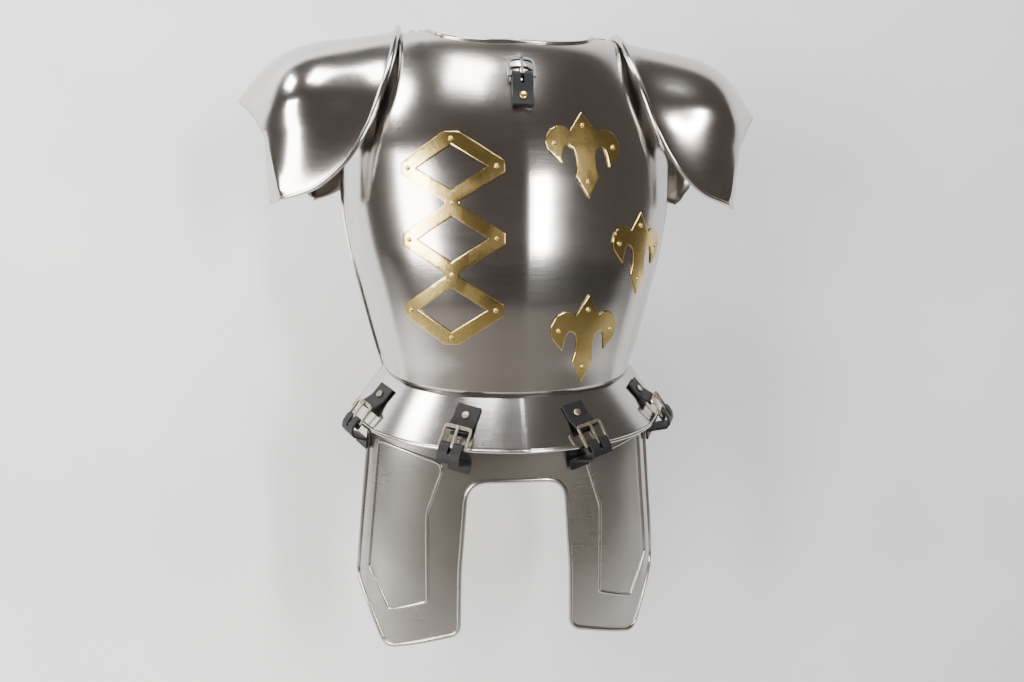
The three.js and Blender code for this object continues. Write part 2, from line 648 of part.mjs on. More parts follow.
function strapGroup(origin, down, outward) {
  const away = outward.clone().addScaledVector(down, -outward.dot(down)).normalize();
  const group = new THREE.Group();
  group.position.copy(origin);
  group.quaternion.setFromRotationMatrix(new THREE.Matrix4().makeBasis(down.clone().cross(away), down, away));
  return group;
}

// A closed side view, in (length, lift), given the width of the strap.
const SIDE_VIEW = new THREE.Matrix4().makeBasis(vector(0, 1, 0), vector(0, 0, 1), vector(1, 0, 0));
function fromSide(outline, width, holes = []) {
  const settings = { depth: width, bevelEnabled: false };
  const geometry = new THREE.ExtrudeGeometry(shapeOf(outline, holes), settings);
  return geometry.translate(0, 0, -width / 2).applyMatrix4(SIDE_VIEW);
}
// The side view of a strap whose middle line joins the given points.
function ribbonOutline(points, thickness) {
  const middle = points.map(([y, z]) => new THREE.Vector2(y, z));
  const last = middle.length - 1;
  const edge = (side) => middle.map((point, i) => {
    const before = point.clone().sub(middle[Math.max(i - 1, 0)]).normalize();
    const after = middle[Math.min(i + 1, last)].clone().sub(point).normalize();
    const along = before.clone().add(after).normalize();
    const mitre = side / Math.max(along.dot(i < last ? after : before), 0.5);
    return new THREE.Vector2(point.x - mitre * along.y, point.y + mitre * along.x);
  });
  return [...edge(thickness / 2), ...edge(-thickness / 2).reverse()];
}
const arc = (center, radius, from, to, steps) => Array.from({ length: steps + 1 }, (_, i) => {
  const angle = degrees(from + (i / steps) * (to - from));
  return [center[0] + radius * Math.cos(angle), center[1] + radius * Math.sin(angle)];
});

// A slot for the prong, cut through the fold round a bar at (length, lift).
const SLOT = { room: 0.4, before: 6.6, after: 9 };
function slotted(geometry, bar) {
  const slot = new THREE.BoxGeometry(PRONG.width + 2 * SLOT.room, SLOT.before + SLOT.after, 30);
  slot.translate(0, bar[0] + (SLOT.after - SLOT.before) / 2, bar[1]);
  return geometryOf(solid(geometry).subtract(solid(slot)));
}

// A buckle's frame lies flat with its bar at the origin and its far bar at -reach.
function buckleFrame({ width, side, farBar, wire, reach, corner }) {
  const half = width / 2;
  const far = -reach - farBar / 2;
  const near = BAR / 2;
  const outer = roundedOutline([
    { x: half, height: near, round: 1 }, { x: half, height: far, round: corner },
    { x: -half, height: far, round: corner }, { x: -half, height: near, round: 1 },
  ]);
  const inner = half - side;
  const farInner = -reach + farBar / 2;
  const innerCorner = Math.max(corner - side, 0);
  const hole = roundedOutline([
    { x: inner, height: -near, round: 0 }, { x: inner, height: farInner, round: innerCorner },
    { x: -inner, height: farInner, round: innerCorner }, { x: -inner, height: -near, round: 0 },
  ]);
  const settings = { depth: wire, bevelEnabled: false };
  return new THREE.ExtrudeGeometry(shapeOf(outer, [hole]), settings).translate(0, 0, -wire / 2);
}

// The prong: an eye round the bar at the origin, and an arm that rests on the far bar.
const EYE = { inner: 1.95, outer: 2.75 };
function prongShape({ reach, farBar, wire }) {
  const circle = (radius, steps) => arc([0, 0], radius, 0, 360, steps).slice(0, -1)
    .map(([y, z]) => new THREE.Vector2(y, z));
  const eye = fromSide(circle(EYE.outer, 12), PRONG.width, [circle(EYE.inner, 12)]);
  const rest = wire / 2 + GAP;
  const tip = -reach - 0.35 * farBar;
  const side = [
    [-0.5 * EYE.inner, EYE.inner + 0.25], [-reach + farBar, rest], [tip, rest],
    [tip, rest + 0.7 * PRONG.thickness], [-reach + farBar, rest + PRONG.thickness],
    [-0.5 * EYE.inner, EYE.outer - 0.1],
  ].map(([y, z]) => new THREE.Vector2(y, z));
  return geometryOf(solid(eye).add(solid(fromSide(side, PRONG.width))));
}

// A turned frame and its prong, hinged on a bar at (length, lift) of a strap.
function buckle(name, size, bar, tilt, material) {
  const group = new THREE.Group();
  group.position.set(0, bar[0], bar[1]);
  group.rotation.x = degrees(tilt);
  group.add(part(`${name}_buckle`, buckleFrame(size), material));
  group.add(part(`${name}_prong`, prongShape(size), material));
  return group;
}

function rivetAt(name, length, lift, size, material) {
  const mesh = part(name, head(size, 10), material);
  mesh.position.set(0, length, lift);
  return mesh;
}

// Where a strap's own middle plane meets the tasset at a height, on top of the steel.
function tassetUnder(group, height) {
  group.updateMatrixWorld(true);
  const inGroup = (angle) => {
    const point = tassetPoint(angle, height).add(vector(TASSET_SHIFT, 0, 0));
    const outward = vector(point.x, 2 * point.y, 0).normalize();
    return group.worldToLocal(point.addScaledVector(outward, LOWER_TAB.lift + LEATHER / 2));
  };
  let [low, high] = [-TASSET_SPAN, TASSET_SPAN];
  for (let i = 0; i < 30; i++) {
    const middle = (low + high) / 2;
    if (inGroup(middle).x > 0) low = middle;
    else high = middle;
  }
  const { y, z } = inGroup(low);
  return [y, z];
}

// One strap set of the band: the upper strap, riveted to the band, runs under the buckle's
// far bar; the lower tab comes up from the tasset and is folded round the buckle's bar.
const FOLD_RADIUS = 2.0 + LEATHER / 2;              // middle of the leather round a bar
function bandStrap({ name, angle, lean, tabEnd }) {
  const top = bandPoint(angle, 1);
  const rim = bandPoint(angle, 2);
  const across = bandPoint(angle + 1, 1.5).sub(bandPoint(angle - 1, 1.5)).normalize();
  const slope = rim.clone().sub(top).normalize();
  const outward = across.clone().cross(slope).negate();
  const down = slope.clone().applyAxisAngle(outward, degrees(lean));
  const pivot = top.clone().addScaledVector(slope, UPPER_STRAP.rivet);
  const length = rim.distanceTo(top) - UPPER_STRAP.rivet;
  const group = strapGroup(pivot, down, outward);
  const lying = GAP + LEATHER / 2 + 0.25;
  const upper = [[-11, lying], [4, lying], [9, lying + 1.8], [14, 5.6], [19, 6.4]];
  group.add(part(`${name}_strap`, fromSide(ribbonOutline(upper, LEATHER), UPPER_STRAP.width), HIDE));
  group.add(rivetAt(`${name}_rivet`, 0, lying + LEATHER / 2 + 2 * GAP, RIVET, GILDING));
  const bar = [length + 1.5, 8.2];
  group.add(buckle(name, BAND_BUCKLE, bar, -6, BUCKLE_METAL));
  const landing = [0, -LOWER_TAB.lap].map((more) => tassetUnder(group, tabEnd + more));
  const tab = [
    [bar[0] + 6, bar[1] - 3.4],
    ...arc(bar, FOLD_RADIUS, -80, -280, 6),
    [bar[0] + 7, bar[1] + 2.2], [bar[0] + 12, bar[1] - 1], [bar[0] + 13.5, bar[1] - 6],
    ...landing,
  ];
  const leather = fromSide(ribbonOutline(tab, LEATHER), LOWER_TAB.width);
  group.add(part(`${name}_tab`, slotted(leather, bar), HIDE));
  return group;
}

// The chest strap: leather folded round the bar of an open buckle, which lies upwards.
function chestStrap() {
  const point = chestPoint(0, CHEST_STRAP.height);
  const slope = chestPoint(0, CHEST_STRAP.height - 5).sub(chestPoint(0, CHEST_STRAP.height + 5)).normalize();
  const group = strapGroup(point, slope, vector(0, -1, 0));
  const back = GAP + LEATHER / 2;
  const front = back + LEATHER + GAP;
  const bar = [-21, back + FOLD_RADIUS];
  const fold = [
    [8.5, back], [0, back], [-12, back], ...arc(bar, FOLD_RADIUS, -85, -275, 6), [-13, front + 2.2],
    [-5, front + 0.2], [0, front], [8.5, front],
  ];
  const leather = fromSide(ribbonOutline(fold, LEATHER), CHEST_STRAP.width);
  group.add(part('chest_strap', slotted(leather, bar), HIDE));
  group.add(rivetAt('chest_rivet', 0, front + LEATHER / 2 + 1.5 * GAP, RIVET, GILDING));
  group.add(buckle('chest', CHEST_BUCKLE, bar, 5, BLACK_METAL));
  return group;
}

// ---------------------------------------------------------------- hidden joins

// A leather bridge under each shoulder crest, on the inside of the two plates.
const SHOULDER = { x: 100, width: 20 };
const SHOULDER_PATH = [[-16, 5.6], [-8, 7.8], [0, 8.4], [8, 7.8], [16, 5.6]];
function shoulderStrap(side) {
  const leather = fromSide(ribbonOutline(SHOULDER_PATH, LEATHER), SHOULDER.width);
  const strap = part(`shoulder_strap_${side > 0 ? 'left' : 'right'}`, leather, HIDE);
  strap.position.x = side * SHOULDER.x;
  return strap;
}

const armour = new THREE.Group();
armour.add(part('breastplate', breastplate, STEEL));
armour.add(part('backplate', backplate, STEEL));
armour.add(part('waist_band', waistBand, STEEL));
const tasset = part('tasset_plate', tassetPlate, STEEL);
tasset.position.x = TASSET_SHIFT;
armour.add(tasset);
armour.add(part('pauldron_left', pauldronWall(1), STEEL));
armour.add(part('pauldron_right', pauldronWall(-1), STEEL));
for (const size of LILIES) armour.add(part(size.name, lily(size), GILDING));
armour.add(part('lozenge_chain', lozengeChain(LOZENGES), GILDING));
for (const size of BAND_STRAPS) armour.add(bandStrap(size));
armour.add(chestStrap());
for (const side of [-1, 1]) armour.add(shoulderStrap(side));

export default armour;
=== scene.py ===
# %% [markdown]
# This lesson dresses a suit of plate armour: polished steel plates, brass ornaments, black
# leather straps and small buckles. The solid parts already stand in a fixed frame, in
# metres, with +Z up and the front facing -Y. The big plates are made again here with fine
# meshes, because polished steel shows every facet in its reflections.

# %% Frame and units
import math
from bisect import bisect_right

import bmesh
import bpy
import numpy as np
from mathutils import Matrix, Vector


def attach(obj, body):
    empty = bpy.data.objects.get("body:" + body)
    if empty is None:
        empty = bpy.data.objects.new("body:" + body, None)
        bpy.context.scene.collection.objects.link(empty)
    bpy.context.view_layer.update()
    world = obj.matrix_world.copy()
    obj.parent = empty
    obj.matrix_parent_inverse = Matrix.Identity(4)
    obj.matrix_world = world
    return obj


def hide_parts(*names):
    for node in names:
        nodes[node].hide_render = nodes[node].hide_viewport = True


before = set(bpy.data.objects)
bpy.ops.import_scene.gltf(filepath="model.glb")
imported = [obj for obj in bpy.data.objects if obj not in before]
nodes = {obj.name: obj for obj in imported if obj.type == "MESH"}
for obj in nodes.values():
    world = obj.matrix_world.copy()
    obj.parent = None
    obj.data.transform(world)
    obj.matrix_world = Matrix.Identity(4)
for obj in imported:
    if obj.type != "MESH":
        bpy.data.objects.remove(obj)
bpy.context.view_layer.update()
MM = 0.001
BODY = "armour"
PLATE = 1.8          # wall of the two large plates, in millimetres
LAME = 1.6           # wall of the pauldrons, the band and the skirt plate

# %% [markdown]
# A camera comes first, so that every later step can be looked at. It stands a little to
# the wearer's right of the middle, slightly above the suit's centre, with a wide lens.

# %% Camera
camera_data = bpy.data.cameras.new("camera")
camera_data.lens = 27.42
camera_data.sensor_width = 36
camera_data.clip_start = 0.01
camera = bpy.data.objects.new("camera", camera_data)
bpy.context.scene.collection.objects.link(camera)
camera.location = (-0.1143, -0.8310, -0.2266)
aim = Vector((0.0053, -0.0008, -0.3000)) - camera.location
camera.rotation_euler = aim.to_track_quat("-Z", "Y").to_euler()
bpy.context.scene.camera = camera
print("camera distance", round(aim.length, 3))

# %% [markdown]
# Plate armour is described by its sections: the width and depth of the body at a few
# heights. A smooth curve that never overshoots joins them, so a plate can be asked for a
# point at any angle round the body and any height.

# %% Sections
CHEST = [
    # height, half width, depth
    (-356, 127.0, 101), (-325, 131.5, 106), (-300, 138.5, 112), (-250, 151.5, 122),
    (-200, 164.0, 126), (-150, 171.0, 124), (-115, 172.5, 119), (-85, 166.0, 112),
    (-50, 153.0, 99), (-20, 141.0, 83), (0, 134.0, 66), (7, 131.0, 56),
    (11, 129.5, 45), (13, 128.5, 30), (14, 128.0, 13),
]
BACK = [
    (-364, 162.0, 112), (-345, 145.0, 95), (-330, 132.5, 83), (-322, 132.0, 81),
    (-300, 138.5, 85), (-250, 151.5, 92), (-200, 164.0, 96), (-150, 171.0, 97),
    (-115, 172.5, 94), (-85, 166.0, 88), (-50, 153.0, 80), (-20, 141.0, 69),
    (0, 134.0, 58), (7, 131.0, 50), (11, 129.5, 40), (13, 128.5, 27), (14, 128.0, 13),
]
FRONT_TOP = [
    # angle, height
    (0, -5), (9, -5), (18, -3.5), (27, 0), (33, 4), (37, 9), (40, 13), (43, 14), (75, 14),
    (77, 8), (79, -12), (81, -38), (84, -72), (88, -98), (92, -106),
]
BACK_TOP = [
    (0, 7), (18, 7.5), (29, 9), (36, 11.5), (41, 14), (75, 14),
    (77, 8), (79, -12), (81, -38), (84, -72), (88, -98), (95, -108),
]


def curve_through(table, column):
    xs = [float(row[0]) for row in table]
    ys = [float(row[column]) for row in table]
    slopes = [(ys[i + 1] - ys[i]) / (xs[i + 1] - xs[i]) for i in range(len(xs) - 1)]
    tangents = [slopes[0]]
    for before, after in zip(slopes, slopes[1:]):
        product = before * after
        tangents.append(0.0 if product <= 0 else 2 * product / (before + after))
    tangents.append(slopes[-1])

    def value(x):
        x = min(max(x, xs[0]), xs[-1])
        i = min(bisect_right(xs, x) - 1, len(xs) - 2)
        width = xs[i + 1] - xs[i]
        t = (x - xs[i]) / width
        return ((2 * t**3 - 3 * t**2 + 1) * ys[i] + (t**3 - 2 * t**2 + t) * width * tangents[i]
                + (3 * t**2 - 2 * t**3) * ys[i + 1] + (t**3 - t**2) * width * tangents[i + 1])
    return value


chest_width, chest_depth = curve_through(CHEST, 1), curve_through(CHEST, 2)
back_width, back_depth = curve_through(BACK, 1), curve_through(BACK, 2)
front_top, back_top = curve_through(FRONT_TOP, 1), curve_through(BACK_TOP, 1)
KEEL = math.radians(7)


def keeled(half_width, depth, angle):
    around = KEEL + abs(angle) / 90 * (math.pi / 2 - KEEL)
    across = (math.sin(around) - math.sin(KEEL)) / (1 - math.sin(KEEL))
    forward = math.cos(around) / math.cos(KEEL)
    fullness = math.copysign(abs(forward) ** 0.95, forward)
    return math.copysign(half_width * across, angle), -depth * fullness


def chest_point(angle, height):
    x, y = keeled(float(chest_width(height)), float(chest_depth(height)), angle)
    return np.array([x, y, height])


def back_point(angle, height):
    if abs(angle) > 90:
        return chest_point(-math.copysign(180 - abs(angle), angle), height)
    side = math.radians(angle)
    return np.array([-float(back_width(height)) * math.sin(side),
                     float(back_depth(height)) * math.cos(side) ** 0.85, height])


def waist_height(angle):
    return -344 + 26 * (abs(angle) / 90) ** 3


print("chest at its widest", 2 * float(chest_width(-115)), "mm")

# %% [markdown]
# Every plate is a grid bent over its section curves. The grid operator makes the vertices
# and faces, each vertex is then carried to its place on the surface, and a Solidify
# modifier gives the sheet its thickness inwards. A rolled edge is the border of the sheet
# turned round a wire, so a thin round tube along the border shows it best.

# %% Sheets and rolls


def link(name, mesh):
    piece = bpy.data.objects.new(name, mesh)
    bpy.context.scene.collection.objects.link(piece)
    for polygon in mesh.polygons:
        polygon.use_smooth = True
    return piece


def bent_sheet(name, places, centre, thickness, trim=None):
    """places[column][row] are points in millimetres; centre is a point inside the curve."""
    columns, rows = len(places) - 1, len(places[0]) - 1
    bm = bmesh.new()
    bmesh.ops.create_grid(bm, x_segments=columns, y_segments=rows, size=1)
    for vert in bm.verts:
        column = round((vert.co.x + 1) / 2 * columns)
        row = round((vert.co.y + 1) / 2 * rows)
        vert.co = Vector(places[column][row]) * MM
    if trim:
        trim(bm)
    bm.normal_update()
    middle = Vector(centre) * MM
    facing = sum((face.calc_center_median() - middle).dot(face.normal) for face in bm.faces)
    if facing < 0:
        bmesh.ops.reverse_faces(bm, faces=bm.faces)
    mesh = bpy.data.meshes.new(name)
    bm.to_mesh(mesh)
    bm.free()
    piece = link(name, mesh)
    wall = piece.modifiers.new("wall", "SOLIDIFY")
    wall.thickness = thickness * MM
    wall.offset = -1
    return piece


def rolled_edge(name, points, radii, cyclic=False):
    """A round tube of the given radii along points, all in millimetres."""
    data = bpy.data.curves.new(name, "CURVE")
    data.dimensions = "3D"
    data.bevel_depth = MM
    data.bevel_resolution = 3
    data.use_fill_caps = True
    spline = data.splines.new("POLY")
    spline.points.add(len(points) - 1)
    spline.use_cyclic_u = cyclic
    for knot, point, radius in zip(spline.points, points, radii):
        knot.co = (*(np.array(point) * MM), 1)
        knot.radius = radius
    soft = bpy.data.objects.new(name, data)
    bpy.context.scene.collection.objects.link(soft)
    bpy.context.view_layer.update()
    mesh = bpy.data.meshes.new_from_object(soft)
    bpy.data.objects.remove(soft)
    bm = bmesh.new()
    bm.from_mesh(mesh)
    bmesh.ops.remove_doubles(bm, verts=bm.verts, dist=1e-6)
    bmesh.ops.recalc_face_normals(bm, faces=bm.faces)
    bm.to_mesh(mesh)
    bm.free()
    return link(name, mesh)


def along_meridian(surface, angle, low, high, rows):
    heights = high - (high - low) * (1 - np.linspace(0, 1, 90)) ** 2
    points = np.array([surface(angle, height) for height in heights])
    lengths = np.concatenate([[0], np.cumsum(np.linalg.norm(np.diff(points, axis=0), axis=1))])
    goals = np.linspace(0, lengths[-1], rows + 1)
    picked = np.interp(goals, lengths, heights)
    return [surface(angle, height) for height in picked]


def both_sides(angles):
    return [-angle for angle in reversed(angles) if angle > 0] + list(angles)


ARMHOLE = (-48.0, 38.0, 50.0)      # height, half width, half height


def open_armholes(bm):
    """Takes out the faces inside the ovals at both sides and rounds what is left to them."""
    height, half_width, half_height = (value * MM for value in ARMHOLE)

    def reach(vert):
        if abs(vert.co.x) < 0.1:
            return 9.0
        return math.hypot(vert.co.y / half_width, (vert.co.z - height) / half_height)
    inside = [face for face in bm.faces if all(reach(vert) < 1 for vert in face.verts)]
    bmesh.ops.delete(bm, geom=inside, context="FACES")
    for vert in bm.verts:
        out = reach(vert)
        if 0 < out < 1:
            vert.co.y /= out
            vert.co.z = height + (vert.co.z - height) / out


print("helpers ready")

# %% [markdown]
# The breastplate is the largest plate. It has a soft keel down its middle, is fullest high
# on the chest and draws in to the waist, and its neck edge is rolled outwards.

# %% Breastplate
half_angles = list(np.arange(0, 75, 1.5)) + list(np.arange(75, 92.1, 0.5))
breast_places = [
    along_meridian(chest_point, angle, waist_height(angle), float(front_top(abs(angle))), 72)
    for angle in both_sides(half_angles)
]
breast = bent_sheet("breast_shell", breast_places, (0, 0, -180), PLATE, open_armholes)
neck_angles = both_sides(list(np.arange(0, 52, 1.5)))
NECK_ROLL = 2.1      # radius of the rolled neck edges
NECK_DROP = 1.2      # how far the roll's middle lies under the border
neck_line = [chest_point(angle, float(front_top(abs(angle))) - NECK_DROP) for angle in neck_angles]
neck_roll = rolled_edge("breast_neck_roll", neck_line, [NECK_ROLL] * len(neck_line))
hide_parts("breastplate")
print("breastplate faces", len(breast.data.polygons))

# %% [markdown]
# The backplate closes the suit behind. Its side borders lie over the breastplate's, and
# below the waist it flares into a short skirt.

# %% Backplate


LAP_FROM, LAP_OVER = 70, 11     # angle where the lap starts, and how far it takes to rise
LAP_OUT = 2.1                   # how far the lap stands out
SKIRT_TOP, SKIRT_FRONT = -0.312, 0.005      # metres: the skirt is cut off ahead of these


def step_out(angle):
    t = min(max((abs(angle) - LAP_FROM) / LAP_OVER, 0), 1)
    return LAP_OUT * t * t * (3 - 2 * t)


def lapped_back(angle, height):
    point = back_point(angle, height)
    ahead = back_point(angle + 0.2, height) - back_point(angle - 0.2, height)
    outward = np.array([-ahead[1], ahead[0], 0])
    outward /= np.linalg.norm(outward)
    if outward @ np.array([point[0], point[1], 0]) < 0:
        outward = -outward
    return point + outward * step_out(angle)


def trim_back(bm):
    open_armholes(bm)

    def below(vert):
        return vert.co.z < SKIRT_TOP and vert.co.y < SKIRT_FRONT
    gone = [face for face in bm.faces if all(below(vert) for vert in face.verts)]
    bmesh.ops.delete(bm, geom=gone, context="FACES")
    for vert in bm.verts:
        if below(vert):
            if SKIRT_TOP - vert.co.z < SKIRT_FRONT - vert.co.y:
                vert.co.z = SKIRT_TOP
            else:
                vert.co.y = SKIRT_FRONT


half_back = list(np.arange(0, 75, 1.5)) + list(np.arange(75, 96.1, 0.5))
back_places = [
    along_meridian(lapped_back, angle, -364, float(back_top(abs(angle))), 84)
    for angle in both_sides(half_back)
]
back = bent_sheet("back_shell", back_places, (0, 0, -180), PLATE, trim_back)
nape_line = [back_point(angle, float(back_top(abs(angle))) - NECK_DROP) for angle in neck_angles]
nape_roll = rolled_edge("back_neck_roll", nape_line, [NECK_ROLL] * len(nape_line))
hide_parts("backplate")
print("backplate faces", len(back.data.polygons))

# %% [markdown]
# The waist band is a lame that starts under the breastplate's lower border and flares out
# over the hips. Its rim is rolled too.

# %% Waist band


def rim_point(angle):
    x, y = keeled(164, 133, angle)
    return np.array([x, y, -391 + 28 * (abs(angle) / 90) ** 2.4])


def tucked(angle, height):
    point = chest_point(angle, height)
    inward = 1 - 2.7 / math.hypot(point[0], point[1])
    return np.array([point[0] * inward, point[1] * inward, height])


def band_column(angle):
    waist = waist_height(angle)
    top = [tucked(angle, waist + 12 * (1 - t)) for t in np.linspace(0, 1, 6)]
    start, end = tucked(angle, waist), rim_point(angle)
    return top + [start + (end - start) * t for t in np.linspace(0, 1, 21)[1:]]


band_angles = list(np.linspace(-88, 88, 133))
band = bent_sheet("band_shell", [band_column(angle) for angle in band_angles], (0, 0, -330),
                  LAME)
rim_line = [rim_point(angle) for angle in band_angles]
band_roll = rolled_edge("band_rim_roll", rim_line, [1.7] * len(rim_line))
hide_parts("waist_band")
print("band faces", len(band.data.polygons))

# %% [markdown]
# The tasset is one skirt plate with two legs. A leg is bounded by an inner and an outer
# line; the grid runs between them, and the corners are then rounded off. A bead round
# each leg's panel and a rolled edge all round are laid on the same curve.

# %% Tasset
TASSET = [(-612, 162, 90), (-520, 162, 93), (-450, 158, 95), (-390, 154, 97), (-368, 150, 97)]
tasset_width, tasset_depth = curve_through(TASSET, 1), curve_through(TASSET, 2)
INNER = [(0, -376, 0), (0, -428, 0), (49, -428, 24), (56, -520, 200), (57, -583, 0)]
OUTER = [(142, -376, 0), (157, -536, 40), (129, -602, 0)]
EDGE = [(0, -428, 0), (49, -428, 24), (56, -520, 200), (57, -583, 12), (129, -602, 12),
        (157, -536, 40), (142, -376, 0)]
PANEL = [(70, -411, 10), (87, -461, 40), (87.5, -551, 3), (125, -563.5, 3), (145, -522, 6),
         (133, -392, 3)]


def rounded(corners, closed=False, steps=10):
    line = []
    for i, (x, z, radius) in enumerate(corners):
        here = np.array([x, z], float)
        if radius == 0 or (not closed and i in (0, len(corners) - 1)):
            line.append(here)
            continue
        before = np.array(corners[i - 1][:2], float) - here
        after = np.array(corners[(i + 1) % len(corners)][:2], float) - here
        lengths = np.linalg.norm(before), np.linalg.norm(after)
        turn = math.acos(float(before @ after) / (lengths[0] * lengths[1]))
        cut = min(radius / math.tan(turn / 2), 0.48 * min(lengths))
        start, end = here + before / lengths[0] * cut, here + after / lengths[1] * cut
        for t in np.linspace(0, 1, steps):
            line.append((1 - t) ** 2 * start + 2 * t * (1 - t) * here + t * t * end)
    return line


def evenly(line, spacing):
    line = np.array(line)
    lengths = np.concatenate([[0], np.cumsum(np.linalg.norm(np.diff(line, axis=0), axis=1))])
    goals = np.linspace(0, lengths[-1], max(int(lengths[-1] / spacing), 2) + 1)
    return np.stack([np.interp(goals, lengths, line[:, k]) for k in range(2)], axis=1)


def tasset_point(x, z, side=1, lift=0.0):
    across = min(max(x / float(tasset_width(z)), 0), 1)
    fore = math.sqrt(1 - across * across)
    y = -float(tasset_depth(z)) * fore ** 0.8
    outward = np.array([side * across * 0.6, -fore, 0])
    outward /= np.linalg.norm(outward)
    return np.array([side * x - 3.5, y, z]) + outward * lift


def inside_outline(point, outline):
    x, z = point
    hit = False
    for (x0, z0), (x1, z1) in zip(outline, np.roll(outline, -1, axis=0)):
        if (z0 > z) != (z1 > z) and x < (x1 - x0) * (z - z0) / (z1 - z0) + x0:
            hit = not hit
    return hit


def nearest(point, outline):
    a, b = outline, np.roll(outline, -1, axis=0)
    run = b - a
    t = np.clip(((point - a) * run).sum(1) / (run * run).sum(1), 0, 1)
    on = a + run * t[:, None]
    return on[np.argmin(((on - point) ** 2).sum(1))]


leg_edge = np.array(rounded(EDGE))
leg_outline = np.vstack([leg_edge, [[0, -376]]])
inner_line = evenly(rounded(INNER), 2.5)
outer_line = np.array(rounded(OUTER))
outer_steps = np.linalg.norm(np.diff(outer_line, axis=0), axis=1)
outer_lengths = np.concatenate([[0], np.cumsum(outer_steps)])
outer_line = np.stack([np.interp(np.linspace(0, outer_lengths[-1], len(inner_line)), outer_lengths,
                                 outer_line[:, k]) for k in range(2)], axis=1)


def leg_places(side):
    places = []
    for s in np.linspace(0, 1, 45):
        column = []
        for a, b in zip(inner_line, outer_line):
            flat = a + (b - a) * s
            if 0.001 < s < 1 and not inside_outline(flat, leg_outline):
                flat = nearest(flat, leg_outline)
            column.append(tasset_point(flat[0], flat[1], side))
        places.append(column)
    return places


def open_arch(bm):
    """The faces that span from leg to leg go, and the two halves join down the middle."""
    middle = -3.5 * MM
    spanning = [face for face in bm.faces if min(vert.co.x for vert in face.verts) < middle - 1e-4
                and max(vert.co.x for vert in face.verts) > middle + 1e-4]
    bmesh.ops.delete(bm, geom=spanning, context="FACES_ONLY")
    bmesh.ops.remove_doubles(bm, verts=bm.verts, dist=1e-5)


right_leg, left_leg = leg_places(-1), leg_places(1)
tasset = bent_sheet("tasset_shell", right_leg[::-1] + left_leg, (0, 40, -480), LAME,
                    open_arch)
edge_flat = evenly(leg_edge, 2.0)
edge_line = ([tasset_point(x, z, -1, -0.6) for x, z in edge_flat[::-1]]
             + [tasset_point(x, z, 1, -0.6) for x, z in edge_flat[1:]])
tasset_roll = rolled_edge("tasset_edge_roll", edge_line, [2.5] * len(edge_line))
panel_flat = evenly(rounded(PANEL, closed=True) + [rounded(PANEL, closed=True)[0]], 2.0)[:-1]
panel_beads = [
    rolled_edge(f"tasset_panel_bead_{name}",
                [tasset_point(x, z, side, -0.4) for x, z in panel_flat],
                [2.1] * len(panel_flat), cyclic=True)
    for name, side in (("left", 1), ("right", -1))
]
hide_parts("tasset_plate")
print("tasset faces", len(tasset.data.polygons))

# %% [markdown]
# A pauldron covers the shoulder like a saddle, with a wing in front and one behind. Two
# curves bound it, the rolled rim near the neck and the free outer edge, and it is domed
# between them. A crease
# near the tip of the front wing turns its outer border back.

# %% Pauldrons
PAULDRON = [
    # rim, outer edge, dome
    ((237, -46, -158), (240.5, -44, -155), (0, 0, 0)),
    ((213, -58, -153), (240, -45, -143), (0, -2, 0)),
    ((190, -66, -145), (240, -44, -127), (0, -4, 0)),
    ((160, -74, -119), (240, -44, -110), (1, -8, 1)),
    ((140, -74, -86), (241, -43, -98), (2, -13, 3)),
    ((127, -68, -50), (247, -38, -85), (4, -20, 10)),
    ((118, -52, -16), (257, -27, -71), (5, -16, 19)),
    ((113, -27, 12), (267, -14, -61), (6, -8, 22)),
    ((112, 0, 20), (272, 0, -55), (6, 0, 23)),
    ((113, 27, 12), (268, 14, -59), (6, 8, 22)),
    ((118, 50, -14), (258, 27, -66), (6, 15, 22)),
    ((128, 64, -48), (247, 38, -77), (4, 19, 12)),
    ((142, 70, -90), (238, 44, -90), (2, 16, 5)),
    ((164, 69, -122), (233, 47, -107), (1, 10, 2)),
    ((186, 62, -138), (224, 48, -125), (0, 5, 1)),
    ((206, 51, -147), (211, 48, -143), (0, 0, 0)),
]


def spaced_curve(points):
    """A smooth curve through points whose knots are spaced by the root of their distance."""
    points = np.array(points, float)
    padded = np.vstack([2 * points[0] - points[1], points, 2 * points[-1] - points[-2]])

    def at(t):
        place = min(max(t, 0), 1) * (len(points) - 1)
        i = min(int(place), len(points) - 2)
        w = place - i
        p0, p1, p2, p3 = padded[i:i + 4]
        pairs = ((p0, p1), (p1, p2), (p2, p3))
        d0, d1, d2 = (max(np.sum((b - a) ** 2), 1e-9) ** 0.25 for a, b in pairs)
        d1 = d1 if d1 > 1e-2 else 1.0
        d0 = d0 if d0 > 1e-2 else d1
        d2 = d2 if d2 > 1e-2 else d1
        t1 = ((p1 - p0) / d0 - (p2 - p0) / (d0 + d1) + (p2 - p1) / d1) * d1
        t2 = ((p2 - p1) / d1 - (p3 - p1) / (d1 + d2) + (p3 - p2) / d2) * d1
        return (p1 + t1 * w + (-3 * p1 + 3 * p2 - 2 * t1 - t2) * w**2
                + (2 * p1 - 2 * p2 + t1 + t2) * w**3)
    return at


rim_curve, outer_curve, dome_curve = (spaced_curve([row[k] for row in PAULDRON]) for k in range(3))


def pauldron_point(station, across, side):
    point = rim_curve(station) * (1 - across) + outer_curve(station) * across
    point = point + dome_curve(station) * math.sin(math.pi * across ** 1.5)
    crease = 225 + (point[2] + 158) * 0.24
    past = point[0] - crease
    if point[1] < 0 and point[2] < -92 and past > -3:
        point[1] += 0.5 * (past + math.hypot(past, 1.0))
    return np.array([side * point[0], point[1], point[2]])


